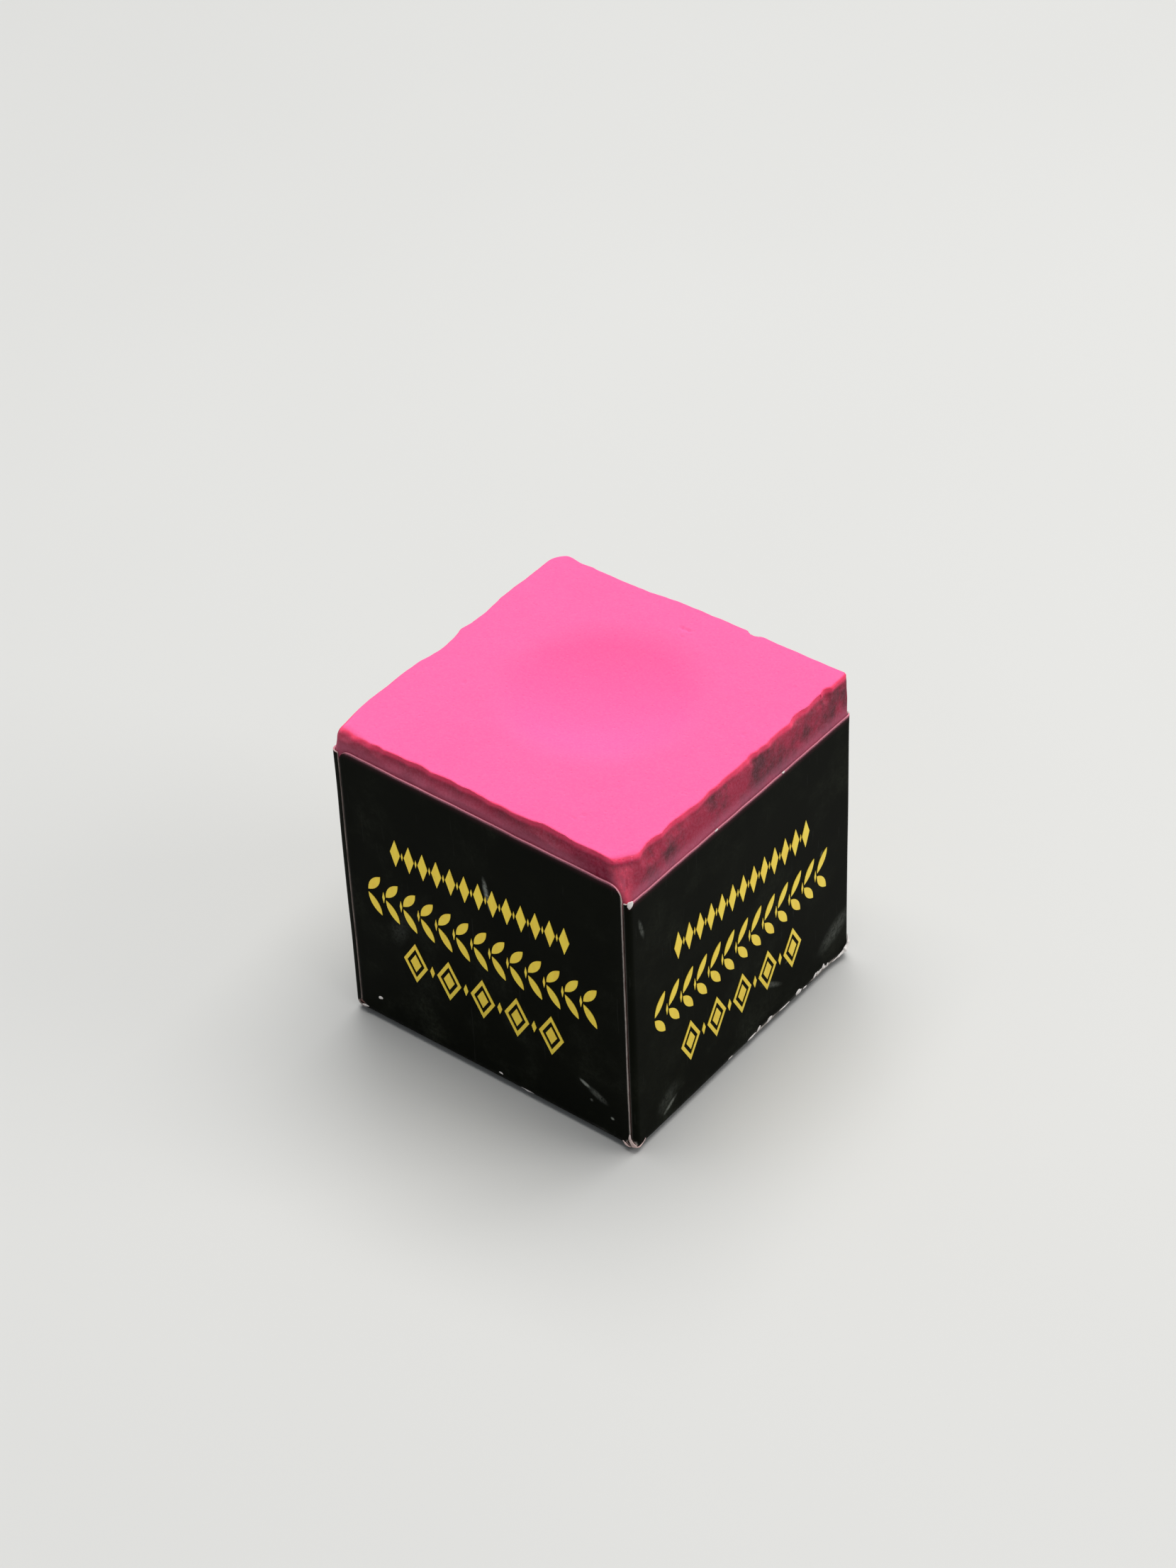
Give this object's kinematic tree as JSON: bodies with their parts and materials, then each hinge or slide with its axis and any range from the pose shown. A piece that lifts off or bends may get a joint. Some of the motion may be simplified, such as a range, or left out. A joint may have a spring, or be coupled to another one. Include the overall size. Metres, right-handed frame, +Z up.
{
  "type": "cue chalk cube",
  "caption": "Pressed chalk cube with a shallow dish in its top, in a black folded paper label with gold ornament on its sides; used to chalk the tip of a billiard cue.",
  "frame": {"origin": "centre of the base, on the face the cube rests on", "axes": "+Z up through the dished top; -Y is the front, the side with a low label flap; -X is the left, the side with a high label flap"},
  "size_m": [0.0222, 0.0222, 0.0225],
  "materials": {
    "chalk": "matte",
    "glue": "matte",
    "label_paper": "semi-gloss",
    "gold_foil": "satin"
  },
  "bodies": {
    "root": {"chalk_block": "chalk", "glue_film": "glue", "paper_label": "label_paper", "gold_print_front": "gold_foil", "gold_print_right": "gold_foil", "gold_print_back": "gold_foil", "gold_print_left": "gold_foil"}
  },
  "joints": []
}
